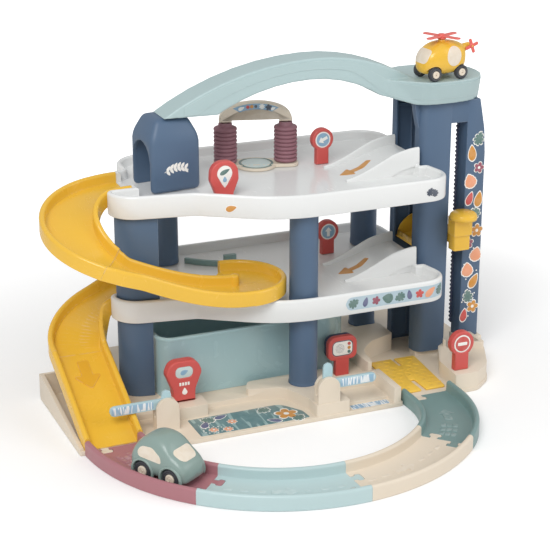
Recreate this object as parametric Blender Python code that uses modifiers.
"""Toy parking garage: two decks on columns, a hand lift, a spiral track and a ring road.

Metres, +Z up. +X runs from the spiral to the lift, -Y is the side with the ring road,
and the origin lies under the ground floor, on the face that the garage stands on.
"""

import math

import bmesh
import bpy
from mathutils import Matrix, Vector

# Corners up to this radius take few points
SMALL_CORNER = 0.0125

# Clearances
GAP = 0.0003
RUN = 0.0006
SLOT_PLAY = 0.0010

# Heights
LANE_TOP = 0.006
PLATFORM_TOP = 0.014
ISLAND_TOP = 0.024
BLOCK_TOP = 0.030
DECK_Z = 0.132
STOREY = 0.157
RIM_HEIGHT = 0.034
RIM_THICK = 0.0075
DECK_FLOOR_UP = 0.019
SHEET = 0.0025

# Columns
COLUMN_RADIUS = 0.0215
COLUMN_TAPER = 0.0008
SOCKET_DEEP = 0.004
FRONT_COLUMN = (0.047, 0.004)
BACK_LEFT_COLUMN = (-0.083, 0.2430)
BACK_RIGHT_COLUMN = (0.2425, 0.2075)
TRAY_LEFT = -0.1610

# Track section, from the floor's upper face
TRACK_HALF = 0.0420
TRACK_WALL = 0.0085
TRACK_RIM = 0.016
TRACK_SKIRT = 0.006

# Ring road
ROAD_CENTRE = (-0.015, -0.036)
ROAD_RADIUS = 0.257
ROAD_FIRST_RADIUS = 0.2455
ROAD_LAST_RADIUS = 0.1625
ROAD_JOINTS = (227.0, 272.0, 313.5)
ROAD_START_Y = -0.0618
ROAD_END_Y = -0.0748
TAB_NECK = 0.005
TAB_HEAD = 0.0085
TAB_LENGTH = 0.015
TAB_OFFSET = 0.016
TAB_SINK = 0.0003

# Spiral and ramp
MOUTH_X = -0.1760
MOUTH_Y = 0.1500
SPIRAL_BEND = 0.0675
SPIRAL_BEND_X = -0.208
SPIRAL_SEAM = 0.50
POCKET_X = -0.042
POCKET_BEND = 0.032
POCKET_Z = 0.1737
TIP_RADIUS = 0.0072
LIP_LENGTH = 0.027
RAMP_BEND = 0.050
RAMP_FOOT_Y = -0.0612
RAMP_FOOT_Z = 0.0076
RAMP_SLOPE = 0.475
SEAM_STEP = 0.0030
FLANGE_THICK = 0.0060

# Lift tower
TOWER_FRONT = 0.052
TOWER_TOP = 0.4137
TOWER_SHEET = 0.0035
UPRIGHT_LEFT = 0.262
SLOT_LEFT = 0.311
SLOT_RIGHT = 0.337
SLOT_TOP = 0.380
PILLAR_RIGHT = 0.372
PILLAR_DEEP = 0.026
TOWER_SEAT = 0.0145
SHAFT_BACK = 0.140
SHAFT_RIGHT = 0.3185
RACK_PITCH = 0.0066
RACK_TOOTH = 0.0026

# Lift carriage, at rest on the lower deck's level
CARRIAGE_Z = 0.183
CARRIAGE_WALL = 0.034
HANDLE_Y = 0.0335
HANDLE_CAP_RADIUS = 0.0215
HANDLE_CAP_TALL = 0.0145

# Carrying arch and helicopter pad
ARCH_Y = 0.100
ARCH_DEEP = 0.050
ARCH_CROWN = (0.093, 0.495)
ARCH_OUTER = (0.450, 0.310)
ARCH_INNER = (0.300, 0.205)
ARCH_THICK = 0.0315
ARCH_LEAN_FROM = 0.24
ARCH_LEAN = (0.0374, 0.0882, -0.0342)
PAD_BOTTOM = 0.4140
PAD_TOP = 0.4500

# Tunnel tower on the upper deck
TUNNEL_AT = (-0.1133, 0.1400)
TUNNEL_TURN = math.radians(5.5)
TUNNEL_SIZE = (0.078, 0.074, 0.108)
TUNNEL_WIDE = 0.060
TUNNEL_TALL = 0.074

# Car wash
WASH_AT = (0.049, 0.1915)
WASH_TURN = math.radians(-16.5)
WASH_SPAN = 0.092
ROLLER_RADIUS = 0.0180
ROLLER_TALL = 0.056
ROLLER_RIBS = 9
WASH_PIN = 0.0035
WASH_ARCH_TOP = 0.100

# Gates: where each post stands, its pin's height, the arm's underside and length
GATE_PIN = 0.0020
GATE_LEFT = {"post": (-0.182, -0.036), "pin": 0.0385, "low": 0.0393, "reach": -0.083, "tab": 0.0660}
GATE_RIGHT = {"post": (0.050, -0.0752), "pin": 0.0470, "low": 0.0430, "reach": 0.077, "tab": 0.0840}
ARM_TALL = 0.0145
ARM_THICK = 0.0042
POST_WIDE = 0.034
POST_DEEP = 0.0160
POST_SLOT = 0.0056

# Vehicles
TYRE_RADIUS = 0.0135
TYRE_WIDE = 0.011
AXLE_RADIUS = 0.0015
CAR_ANGLE = 212.8
CAR_SIZE = (0.092, 0.054, 0.058)
CAR_BASE = 0.046
CAR_TRACK = 0.043
HELI_AT = (0.2920, 0.0605)
HELI_TURN = math.radians(184.0)
HELI_BASE = 0.045
HELI_TRACK = 0.040
HELI_TYRE = 0.0105
HELI_TYRE_WIDE = 0.0085

# Colours as they print, in sRGB, with roughness
PAINTS = {
    "cream": (226, 212, 192, 0.45),
    "white": (233, 233, 233, 0.40),
    "yellow": (232, 184, 60, 0.30),
    "blue": (80, 102, 128, 0.50),
    "pale_teal": (178, 202, 204, 0.45),
    "panel_teal": (140, 168, 174, 0.40),
    "mauve": (170, 115, 122, 0.40),
    "ice_blue": (184, 212, 216, 0.42),
    "grey_green": (112, 138, 136, 0.42),
    "red": (205, 85, 80, 0.45),
    "plum": (140, 95, 105, 0.60),
    "navy": (58, 66, 92, 0.50),
    "arm_blue": (175, 205, 212, 0.45),
    "sage": (135, 168, 155, 0.40),
    "coral": (225, 100, 90, 0.45),
    "tyre": (50, 52, 58, 0.70),
}


# Scene and materials


def clear_scene():
    """Removes whatever the file held and returns the two collections in use."""
    for obj in list(bpy.data.objects):
        bpy.data.objects.remove(obj, do_unlink=True)
    parts = bpy.data.collections.new("toy_parking_garage")
    cutters = bpy.data.collections.new("cutters")
    cutters.hide_render = True
    return parts, cutters


def linear(channel):
    """One sRGB channel from 0 to 255 as a linear value."""
    value = channel / 255
    return value / 12.92 if value <= 0.04045 else ((value + 0.055) / 1.055) ** 2.4


def paint(name):
    """The Principled material of that name, made the first time it is asked for."""
    if name in bpy.data.materials:
        return bpy.data.materials[name]
    red, green, blue, roughness = PAINTS[name]
    made = bpy.data.materials.new(name)
    made.use_nodes = True
    shader = made.node_tree.nodes["Principled BSDF"]
    shader.inputs["Base Color"].default_value = (linear(red), linear(green), linear(blue), 1)
    shader.inputs["Roughness"].default_value = roughness
    shader.inputs["Metallic"].default_value = 0.0
    return made


PARTS, CUTTERS = clear_scene()


# Outlines


def arc(centre, radius, start, end, steps):
    """Points along an arc, angles in degrees, ends included."""
    turns = [math.radians(start + (end - start) * i / steps) for i in range(steps + 1)]
    return [(centre[0] + radius * math.cos(t), centre[1] + radius * math.sin(t)) for t in turns]


def rounded(corners, steps=4):
    """A closed outline through (x, y, radius) corners, each one rounded by an arc."""
    outline = []
    count = len(corners)
    for i, (x, y, radius) in enumerate(corners):
        here = Vector((x, y))
        back = (Vector(corners[i - 1][:2]) - here).normalized()
        ahead = (Vector(corners[(i + 1) % count][:2]) - here).normalized()
        if radius <= 0:
            outline.append((x, y))
            continue
        half = back.angle(ahead) / 2
        reach = radius / math.tan(half)
        middle = here + (back + ahead).normalized() * (radius / math.sin(half))
        first = here + back * reach - middle
        last = here + ahead * reach - middle
        sweep = math.atan2(first.x * last.y - first.y * last.x, first.dot(last))
        begin = math.atan2(first.y, first.x)
        parts = min(steps, 2) if radius <= SMALL_CORNER else steps
        for k in range(parts + 1):
            turn = begin + sweep * k / parts
            outline.append((middle.x + radius * math.cos(turn), middle.y + radius * math.sin(turn)))
    return outline


def shifted(corners, distance):
    """The same corners moved inwards by a distance, for outlines that run anticlockwise."""
    moved = []
    count = len(corners)
    for i, (x, y, radius) in enumerate(corners):
        here = Vector((x, y))
        into = (here - Vector(corners[i - 1][:2])).normalized()
        out = (Vector(corners[(i + 1) % count][:2]) - here).normalized()
        into_left = Vector((-into.y, into.x))
        out_left = Vector((-out.y, out.x))
        bisector = (into_left + out_left).normalized()
        step = distance / max(bisector.dot(out_left), 0.3)
        turns_left = into.x * out.y - into.y * out.x > 0
        new_radius = radius - distance if turns_left else radius + distance
        spot = here + bisector * step
        moved.append((spot.x, spot.y, max(new_radius, 0.0005) if radius > 0 else 0))
    return moved


def band(path, half):
    """The closed outline of a strip of constant width along an open path."""
    left, right = [], []
    for i, point in enumerate(path):
        before = Vector(path[max(i - 1, 0)])
        after = Vector(path[min(i + 1, len(path) - 1)])
        along = (after - before).normalized()
        side = Vector((-along.y, along.x)) * half
        here = Vector(point)
        left.append(tuple(here + side))
        right.append(tuple(here - side))
    return left + right[::-1]


def box_outline(x0, y0, x1, y1, radius=0.0):
    """The corners of a rectangle, anticlockwise."""
    return [(x0, y0, radius), (x1, y0, radius), (x1, y1, radius), (x0, y1, radius)]


# Solids


def to_mesh(obj, name, guide=None):
    """Turns a curve or a modified object into a plain welded mesh object."""
    bench = bpy.context.scene.collection
    for worked in (obj, guide) if guide else (obj,):
        bench.objects.link(worked)
    bpy.context.view_layer.update()
    graph = bpy.context.evaluated_depsgraph_get()
    mesh = bpy.data.meshes.new_from_object(obj.evaluated_get(graph))
    matrix = obj.matrix_world.copy()
    bpy.data.objects.remove(obj, do_unlink=True)
    shape = bmesh.new()
    shape.from_mesh(mesh)
    bmesh.ops.remove_doubles(shape, verts=shape.verts, dist=0.00001)
    bmesh.ops.recalc_face_normals(shape, faces=shape.faces)
    shape.to_mesh(mesh)
    shape.free()
    made = bpy.data.objects.new(name, mesh)
    made.matrix_world = matrix
    PARTS.objects.link(made)
    return made


def plate(name, outlines, z0, z1):
    """A flat outline, with holes if more outlines follow, filled and extruded up."""
    curve = bpy.data.curves.new(name, "CURVE")
    curve.dimensions = "2D"
    curve.fill_mode = "BOTH"
    curve.extrude = (z1 - z0) / 2
    for outline in outlines:
        spline = curve.splines.new("POLY")
        spline.points.add(len(outline) - 1)
        for point, (x, y) in zip(spline.points, outline):
            point.co = (x, y, 0, 1)
        spline.use_cyclic_u = True
    obj = bpy.data.objects.new(name, curve)
    obj.location = (0, 0, (z0 + z1) / 2)
    made = to_mesh(obj, name)
    settle(made)
    return made


def side_plate(name, outlines, y0, y1):
    """The same for an outline drawn in X and Z, extruded along Y."""
    made = plate(name, outlines, 0, y1 - y0)
    made.data.transform(Matrix.Translation((0, y1, 0)) @ Matrix.Rotation(math.pi / 2, 4, "X"))
    return made


def end_plate(name, outlines, x0, x1):
    """The same for an outline drawn in Y and Z, extruded along X."""
    made = plate(name, outlines, 0, x1 - x0)
    turn = Matrix(((0, 0, 1, 0), (1, 0, 0, 0), (0, 1, 0, 0), (0, 0, 0, 1)))
    made.data.transform(Matrix.Translation((x0, 0, 0)) @ turn)
    return made


def settle(obj):
    """Moves the object's place into its mesh, so that it stands at the origin."""
    obj.data.transform(obj.matrix_world)
    obj.matrix_world = Matrix.Identity(4)


def box(name, low, high):
    """A box between two corners."""
    mesh = bpy.data.meshes.new(name)
    shape = bmesh.new()
    size = [b - a for a, b in zip(low, high)]
    middle = [(a + b) / 2 for a, b in zip(low, high)]
    matrix = Matrix.Translation(middle) @ Matrix.Diagonal((*size, 1))
    bmesh.ops.create_cube(shape, size=1, matrix=matrix)
    shape.to_mesh(mesh)
    shape.free()
    made = bpy.data.objects.new(name, mesh)
    PARTS.objects.link(made)
    return made


def rod(name, start, end, radius, radius_end=None, steps=24):
    """A round bar between two points, tapered if a second radius is given."""
    mesh = bpy.data.meshes.new(name)
    shape = bmesh.new()
    first, last = Vector(start), Vector(end)
    along = last - first
    turn = Vector((0, 0, 1)).rotation_difference(along).to_matrix().to_4x4()
    matrix = Matrix.Translation((first + last) / 2) @ turn
    bmesh.ops.create_cone(
        shape,
        cap_ends=True,
        segments=steps,
        radius1=radius,
        radius2=radius if radius_end is None else radius_end,
        depth=along.length,
        matrix=matrix,
    )
    shape.to_mesh(mesh)
    shape.free()
    made = bpy.data.objects.new(name, mesh)
    PARTS.objects.link(made)
    return made


def turned(name, profile, steps=24):
    """A profile of (radius, z), top to bottom, turned about the Z axis."""
    mesh = bpy.data.meshes.new(name)
    points = [(r, 0, z) for r, z in profile]
    mesh.from_pydata(points, [(i, i + 1) for i in range(len(points) - 1)], [])
    obj = bpy.data.objects.new(name, mesh)
    screw = obj.modifiers.new("turn", "SCREW")
    screw.steps = steps
    screw.render_steps = steps
    screw.use_merge_vertices = True
    screw.merge_threshold = 0.00001
    return to_mesh(obj, name)


def swept(name, path, section, closed=False):
    """A closed section of (across, up) carried along a path of points, kept upright."""
    profile = bpy.data.curves.new(name + "_section", "CURVE")
    profile.dimensions = "2D"
    ring = profile.splines.new("POLY")
    ring.points.add(len(section) - 1)
    for point, (across, up) in zip(ring.points, section):
        point.co = (across, up, 0, 1)
    ring.use_cyclic_u = True
    guide = bpy.data.objects.new(name + "_section", profile)
    curve = bpy.data.curves.new(name, "CURVE")
    curve.dimensions = "3D"
    curve.twist_mode = "Z_UP"
    curve.bevel_mode = "OBJECT"
    curve.bevel_object = guide
    curve.use_fill_caps = not closed
    spline = curve.splines.new("POLY")
    spline.points.add(len(path) - 1)
    for point, place in zip(spline.points, path):
        point.co = (*place, 1)
    spline.use_cyclic_u = closed
    made = to_mesh(bpy.data.objects.new(name, curve), name, guide)
    bpy.data.objects.remove(guide, do_unlink=True)
    return made


def hide(obj):
    """Puts a helper among the cutters, out of the render."""
    for collection in list(obj.users_collection):
        collection.objects.unlink(obj)
    CUTTERS.objects.link(obj)
    obj.hide_render = True
    obj.display_type = "WIRE"


def shape_with(obj, helper, operation):
    """Cuts the helper from the object, or joins it on."""
    helper.name = f"{obj.name}_{operation.lower()}_{len(obj.modifiers)}"
    boolean = obj.modifiers.new(helper.name, "BOOLEAN")
    boolean.operation = operation
    boolean.solver = "EXACT"
    boolean.object = helper
    hide(helper)


def cut(obj, *helpers):
    for helper in helpers:
        shape_with(obj, helper, "DIFFERENCE")


def join(obj, *helpers):
    for helper in helpers:
        shape_with(obj, helper, "UNION")


def soften(obj, width, segments=2, angle=40):
    """Rounds the object's edges."""
    bevel = obj.modifiers.new("round", "BEVEL")
    bevel.width = width
    bevel.segments = segments
    bevel.limit_method = "ANGLE"
    bevel.angle_limit = math.radians(angle)
    return obj


def finish(obj, colour):
    """Gives the piece its material and smooth shading with sharp edges kept."""
    obj.data.materials.clear()
    obj.data.materials.append(paint(colour))
    obj.data.shade_smooth()
    obj.data.set_sharp_from_angle(angle=math.radians(35))
    return obj


def hinge(name, place):
    """An empty on a joint's axis, which the pieces that move about it hang from."""
    axis = bpy.data.objects.new(name, None)
    axis.empty_display_size = 0.01
    axis.location = place
    PARTS.objects.link(axis)
    return axis


def hang(obj, axis):
    """Parents a piece to an empty without moving it."""
    obj.parent = axis
    obj.matrix_parent_inverse = Matrix.Translation(-axis.location)
    return obj


def standing(place, turn):
    """The matrix that turns a piece drawn about the origin and stands it at its place."""
    return Matrix.Translation((place[0], place[1], 0)) @ Matrix.Rotation(turn, 4, "Z")


def moved(obj, matrix):
    """Moves a piece inside its mesh, and its Boolean helpers with it."""
    obj.data.transform(matrix)
    for modifier in obj.modifiers:
        if modifier.type == "BOOLEAN":
            modifier.object.data.transform(matrix)
    return obj


# Decks


DECK_CORNERS = [
    (-0.104, 0.043, 0.030),
    (0.004, -0.029, 0.180),
    (0.281, -0.029, 0.038),
    (0.268, 0.047, 0.008),
    (0.2575, 0.047, 0),
    (0.2575, 0.152, 0),
    (0.290, 0.152, 0.012),
    (0.290, 0.274, 0.045),
    (-0.160, 0.274, 0.050),
    (-0.160, MOUTH_Y + 0.049, 0.004),
    (MOUTH_X, MOUTH_Y + 0.049, 0.004),
    (MOUTH_X, MOUTH_Y - TRACK_HALF - 0.001, 0),
    (-0.2165, MOUTH_Y - TRACK_HALF - 0.001, 0.010),
    (-0.2165, 0.063, 0.040),
]


def deck_z(level):
    return DECK_Z + level * STOREY


def floor_z(level):
    return deck_z(level) + DECK_FLOOR_UP


def exit_ramp(level):
    """The slope beside the lift, with its two walls, as one helper for the deck."""
    z = floor_z(level)
    x0, x1 = 0.138, 0.2570
    rise = CARRIAGE_Z - floor_z(0) - 0.006
    steps = 8
    slope = [(x0 + (x1 - x0) * i / steps,
              z + rise * (3 * (i / steps) ** 2 - 2 * (i / steps) ** 3)) for i in range(steps + 1)]
    wall = [(x, h + 0.003 + 0.012 * min(1, 1.6 * i / steps)) for i, (x, h) in enumerate(slope)]
    under = z - SHEET / 2
    bed = side_plate("bed", [[(x0, under)] + [(x1, under)] + slope[::-1]], 0.0535, 0.1375)
    near = side_plate("near", [[(x0, under)] + [(x1, under)] + wall[::-1]], 0.0530, 0.0580)
    far = side_plate("far", [[(x0, under)] + [(x1, under)] + wall[::-1]], 0.1330, 0.1380)
    return bed, near, far


def deck(name, level):
    """One white tray: floor, rim, exit ramp and the sockets for the columns above."""
    low = deck_z(level)
    floor = floor_z(level)
    inner = shifted(DECK_CORNERS, RIM_THICK)
    tray = plate(name, [rounded(DECK_CORNERS, 4)], low, low + RIM_HEIGHT)
    cut(tray, plate("above", [rounded(inner, 4)], floor, low + RIM_HEIGHT + 0.01))
    cut(tray, plate("below", [rounded(inner, 4)], low - 0.01, floor - SHEET))
    soften(tray, 0.0012, 1, 50)
    join(tray, *exit_ramp(level))
    lane = TRACK_HALF - TRACK_WALL
    near, far = MOUTH_Y - lane, MOUTH_Y + lane
    mouth = box("mouth", (MOUTH_X - 0.01, near, floor), (MOUTH_X + 0.02, far, low + 0.05))
    gate = box("gate", (0.248, 0.0580, floor + 0.0001), (0.27, 0.1330, low + 0.08))
    cut(tray, mouth)
    cut(tray, box("under_mouth", (MOUTH_X - 0.01, near, low - 0.01), (MOUTH_X + 0.02, far, floor - SHEET)))
    cut(tray, box("shaft_side", (0.2450, 0.0580, low - 0.01), (0.27, 0.1330, floor - SHEET)))
    gate_low = floor + (CARRIAGE_Z - floor_z(0) - 0.006) * 0.98
    gate.data.transform(Matrix.Translation((0, 0, gate_low - floor)))
    cut(tray, gate)
    if level == 0:
        for x, y in (FRONT_COLUMN, BACK_LEFT_COLUMN, BACK_RIGHT_COLUMN):
            join(tray, rod("seat", (x, y, floor - SHEET / 2), (x, y, floor + 0.0012), 0.0245, steps=24))
    return finish(tray, "white")


def columns():
    """Six round columns, each a little narrower at its top."""
    made = []
    places = {"front": FRONT_COLUMN, "back_left": BACK_LEFT_COLUMN, "back_right": BACK_RIGHT_COLUMN}
    for level, storey in enumerate(("lower", "upper")):
        for where, (x, y) in places.items():
            top = floor_z(level) - SHEET - GAP
            if level == 1:
                foot = floor_z(0) + 0.0012 + GAP
            elif where == "front":
                foot = ISLAND_TOP - SOCKET_DEEP + GAP
            else:
                foot = PLATFORM_TOP - SOCKET_DEEP + GAP
            column = rod(f"column_{where}_{storey}", (x, y, foot), (x, y, top),
                         COLUMN_RADIUS, COLUMN_RADIUS - COLUMN_TAPER, steps=24)
            made.append(finish(column, "blue"))
    return made


def curved_wall(name, z0, z1, end_x):
    """The bowed wall below a deck's left end, which follows the inside of its rim."""
    corners = shifted(DECK_CORNERS, RIM_THICK + GAP + 0.0019)
    bow = rounded(corners, 8)[-9:]
    ahead = Vector(corners[0][:2]) - Vector(bow[-1])
    last = Vector(bow[-1]) + ahead * ((end_x - bow[-1][0]) / ahead.x)
    path = [(bow[0][0], MOUTH_Y - TRACK_HALF - RIM_THICK - 0.0035)] + bow + [tuple(last)]
    wall = plate(name, [band(path, 0.0016)], z0, z1)
    return finish(wall, "blue")


# Track


def track_section():
    """The channel's section: floor, two hollow walls with rounded tops, short skirts."""
    outer, inner = TRACK_HALF, TRACK_HALF - TRACK_WALL
    sheet = SHEET
    crown = TRACK_WALL / 2
    middle = outer - crown
    shoulder = TRACK_RIM - crown * 0.6
    right = [(outer, -TRACK_SKIRT), (outer, shoulder), (middle + crown * 0.45, TRACK_RIM),
             (middle - crown * 0.45, TRACK_RIM), (inner, shoulder), (inner - 0.001, 0.0)]
    under = [(inner + sheet * 0.2, -sheet), (inner + sheet, TRACK_RIM - crown),
             (outer - sheet, TRACK_RIM - crown), (outer - sheet, -TRACK_SKIRT)]
    left = [(-x, z) for x, z in right[::-1]]
    under_left = [(-x, z) for x, z in under]
    return right + left + under_left[::-1] + under


def smooth(t):
    return 3 * t * t - 2 * t * t * t


def course(pieces, spacing):
    """Points (x, y, length so far) along straights and arcs, turning as the parts say.

    Each piece is ("line", length) or ("arc", radius, degrees), to the left if positive.
    """
    x, y, heading = pieces[0]
    travelled = 0.0
    points = [(x, y, 0.0)]
    for piece in pieces[1:]:
        if piece[0] == "line":
            x += piece[1] * math.cos(heading)
            y += piece[1] * math.sin(heading)
            travelled += piece[1]
            points.append((x, y, travelled))
            continue
        radius, turn = piece[1], math.radians(piece[2])
        sign = 1 if turn > 0 else -1
        cx = x - sign * radius * math.sin(heading)
        cy = y + sign * radius * math.cos(heading)
        steps = max(3, round(abs(turn) * radius / spacing), round(abs(turn) / 0.25))
        for i in range(1, steps + 1):
            now = heading + turn * i / steps
            points.append((cx + sign * radius * math.sin(now), cy - sign * radius * math.cos(now),
                           travelled + radius * abs(turn) * i / steps))
        heading += turn
        travelled += radius * abs(turn)
        x, y = points[-1][:2]
    return points


def divided(points, spacing):
    """The same course with long straights split, so that slopes can bend along them."""
    out = [points[0]]
    for last, point in zip(points, points[1:]):
        length = point[2] - last[2]
        count = max(1, math.ceil(length / spacing))
        for i in range(1, count + 1):
            out.append(tuple(a + (b - a) * i / count for a, b in zip(last, point)))
    return out


def level_step(start):
    """A point a short way level from a deck's mouth, which keeps the track's end upright."""
    return start[0] - SEAM_STEP, start[1], start[2]


def parted(path, i):
    """The path in two about its point i, with parallel ends and a gap between them."""
    along = (Vector(path[i + 1]) - Vector(path[i - 1])).normalized()
    here = Vector(path[i])
    first = path[:i + 1] + [tuple(here + along * SEAM_STEP)]
    begin = SEAM_STEP + GAP
    second = [tuple(here + along * begin), tuple(here + along * (begin + SEAM_STEP))]
    return first, second + path[i + 1:]


def pocket(x, y):
    """The half-round end of the spiral, where cars turn back onto the lower deck."""
    z = POCKET_Z - 0.0002
    outer = POCKET_BEND + TRACK_HALF + 0.0001
    inner = outer - TRACK_WALL
    crown = TRACK_WALL / 2
    middle = outer - crown
    top = z + TRACK_RIM - crown
    rim = z + TRACK_RIM
    profile = [(0, z), (inner - 0.001, z), (inner, rim - crown * 0.6), (middle - crown * 0.45, rim),
               (middle + crown * 0.45, rim), (outer, rim - crown * 0.6), (outer, z - TRACK_SKIRT),
               (outer - SHEET, z - TRACK_SKIRT), (outer - SHEET, top), (inner + SHEET, top),
               (inner + SHEET * 0.2, z - SHEET), (0, z - SHEET)]
    dish = turned("pocket", profile, 28)
    dish.data.transform(Matrix.Translation((x, y, 0)))
    cut(dish, box("half", (x - 0.2, y - 0.2, 0), (x, y + 0.2, 0.5)))
    return dish


def spiral():
    """The yellow track from the upper deck round to its turning pocket, in two pieces."""
    front = MOUTH_Y - 2 * SPIRAL_BEND
    plan = [(MOUTH_X - GAP, MOUTH_Y, math.pi), ("line", MOUTH_X - GAP - SPIRAL_BEND_X),
            ("arc", SPIRAL_BEND, 180), ("line", POCKET_X - SPIRAL_BEND_X)]
    points = divided(course(plan, 0.017), 0.026)
    fall = points[-1][2]
    start = floor_z(1)
    path = [(x, y, start - (start - POCKET_Z) * smooth(s / fall)) for x, y, s in points]
    path.append((POCKET_X + 0.0012, front, POCKET_Z))
    path.insert(1, level_step(path[0]))
    seam = next(i for i, point in enumerate(points) if point[2] > SPIRAL_SEAM * fall) + 1
    first, second = parted(path, seam)
    upper = swept("spiral_upper", first, track_section())
    lower = swept("spiral_lower", second, track_section())
    centre = front + POCKET_BEND
    join(lower, pocket(POCKET_X, centre))
    tip = front + TRACK_HALF - TRACK_WALL / 2
    top = POCKET_Z + TRACK_RIM
    foot = POCKET_Z - 0.0012
    nose = [(0, top + 0.0004), (TIP_RADIUS * 0.5, top + 0.0001), (TIP_RADIUS * 0.85, top - 0.0014),
            (TIP_RADIUS, top - 0.0036), (TIP_RADIUS, foot), (0, foot)]
    post = turned("tip", nose, 16)
    post.data.transform(Matrix.Translation((POCKET_X, tip, 0)))
    join(lower, post)
    low = floor_z(0) + GAP
    lip_end = POCKET_X - LIP_LENGTH
    under = POCKET_Z - SHEET
    slope = [(lip_end, low), (lip_end + 0.005, low), (POCKET_X, under),
             (POCKET_X + 0.006, under + 0.0002), (POCKET_X + 0.006, POCKET_Z - 0.0005),
             (POCKET_X, POCKET_Z - 0.0004), (lip_end, low + 0.0010)]
    lip = side_plate("lip", [slope], tip + TIP_RADIUS * 0.5,
                     centre + POCKET_BEND + TRACK_HALF - TRACK_WALL)
    join(lower, lip)
    return finish(upper, "yellow"), finish(lower, "yellow")


def road_arc(centre, radius, begin, end, steps):
    """An arc's points with a short straight step at each end, which squares the ends off."""
    slit = math.degrees(GAP / 2 / radius)
    points = arc(centre, radius, begin + slit, end - slit, steps)
    squared = []
    for point, turn, sign in ((points[0], begin + slit, 1), (points[-1], end - slit, -1)):
        along = math.radians(turn + 90)
        step = sign * SEAM_STEP
        squared.append((point[0] + step * math.cos(along), point[1] + step * math.sin(along)))
    return [points[0], squared[0]] + points[1:-1] + [squared[1], points[-1]]


def end_arc(radius, joint):
    """The centre of an end piece's tighter arc, which meets the ring at a joint."""
    turn = math.radians(joint)
    step = ROAD_RADIUS - radius
    return ROAD_CENTRE[0] + step * math.cos(turn), ROAD_CENTRE[1] + step * math.sin(turn)


def road_start():
    """Where the ring road begins: its X, and the first arc's centre."""
    centre = end_arc(ROAD_FIRST_RADIUS, ROAD_JOINTS[0])
    return centre[0] - math.sqrt(ROAD_FIRST_RADIUS ** 2 - (centre[1] - ROAD_START_Y) ** 2), centre


def road_end():
    """Where the ring road ends: its X, and the last arc's centre."""
    centre = end_arc(ROAD_LAST_RADIUS, ROAD_JOINTS[-1])
    return centre[0] + ROAD_LAST_RADIUS, centre


def ramp():
    """The yellow ramp from the lower deck: a bend, then a straight slope to the road."""
    foot_x = road_start()[0]
    straight = MOUTH_Y - RAMP_BEND - RAMP_FOOT_Y
    plan = [(MOUTH_X - GAP, MOUTH_Y, math.pi), ("line", MOUTH_X - GAP - foot_x - RAMP_BEND),
            ("arc", RAMP_BEND, 90), ("line", straight)]
    points = divided(course(plan, 0.010), 0.06)
    bent = points[-1][2] - straight
    top, middle = floor_z(0), RAMP_FOOT_Z + RAMP_SLOPE * straight

    def height(s):
        if s > bent:
            return RAMP_FOOT_Z + RAMP_SLOPE * (bent + straight - s)
        t = s / bent
        return top + (middle - top) * smooth(t) - RAMP_SLOPE * bent * (t * t * t - t * t)

    path = [(x, y, height(s)) for x, y, s in points]
    path.insert(1, level_step(path[0]))
    seam = next(i for i, s in enumerate(points) if s[2] > bent + 0.0001)
    first, second = parted(path, seam)
    bend = swept("ramp_bend", first, track_section())
    foot = Vector(second[-1])
    second[-1] = tuple(foot + (foot - Vector(second[-2])).normalized() * 0.02)
    chute = swept("ramp_straight", second, track_section())
    low = (foot_x - 0.06, RAMP_FOOT_Y - 0.06, -0.05)
    cut(chute, box("ground", low, (foot_x + 0.06, RAMP_FOOT_Y + 0.06, LANE_TOP + GAP)))
    cut(chute, box("end", low, (foot_x + 0.06, RAMP_FOOT_Y, 0.1)))
    return finish(bend, "yellow"), finish(chute, "yellow")


def tab_outline(spread):
    """A jigsaw tab that points along +Y from the origin, grown by a clearance."""
    neck, head, length = TAB_NECK + spread, TAB_HEAD + spread, TAB_LENGTH + spread
    shoulder = TAB_LENGTH * 0.50 - spread
    step = TAB_LENGTH * 0.05
    corners = [(neck, -0.004, 0), (neck, shoulder - step, 0), (head, shoulder, 0.002),
               (head, length, 0.0035), (-head, length, 0.0035), (-head, shoulder, 0.002),
               (-neck, shoulder - step, 0), (-neck, -0.004, 0)]
    return rounded(corners, 3)


def tab(place, heading, spread, z0, z1):
    """A tab as a solid, at a place on a joint and pointing along a heading."""
    made = plate("tab", [tab_outline(spread)], z0, z1)
    return moved(made, standing(place, heading - math.pi / 2))


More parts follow.
